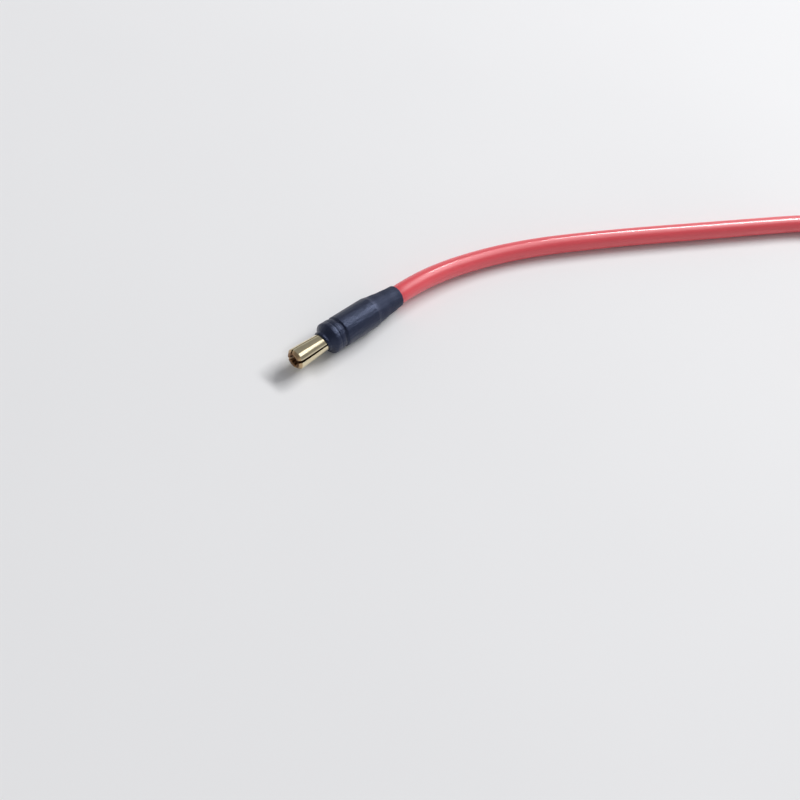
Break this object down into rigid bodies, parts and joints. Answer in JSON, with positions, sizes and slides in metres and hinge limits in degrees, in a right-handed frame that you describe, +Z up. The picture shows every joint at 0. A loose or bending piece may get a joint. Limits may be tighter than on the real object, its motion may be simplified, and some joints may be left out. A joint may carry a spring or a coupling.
{
  "type": "gold battery lead connector",
  "caption": "Gold-plated male bullet plug with slit spring leaves, soldered to a short red silicone battery wire under a black heat-shrink sleeve, with a stripped and tinned far end.",
  "frame": {"origin": "on the plane that the lead lies on, under the middle of the plug with its sleeve", "axes": "+X along the plug's axis from its nose towards the wire, +Z up from the plane that the lead lies on"},
  "size_m": [0.1065, 0.0636, 0.0048],
  "materials": {
    "gold_plated_brass": "bright gold plating over a turned surface",
    "solder": "satin, with a smooth hollow face",
    "tinned_copper": "twisted fine strands drawn together with solder",
    "red_silicone": "smooth and glossy",
    "black_heat_shrink": "satin polyolefin, drawn tight over the plug"
  },
  "bodies": {
    "root": {"bullet_plug": "gold_plated_brass", "solder_fill": "solder", "wire_core": "tinned_copper", "wire_jacket": "red_silicone", "heat_shrink_sleeve": "black_heat_shrink", "wire_run": "red_silicone", "wire_tip": "tinned_copper"}
  },
  "joints": []
}
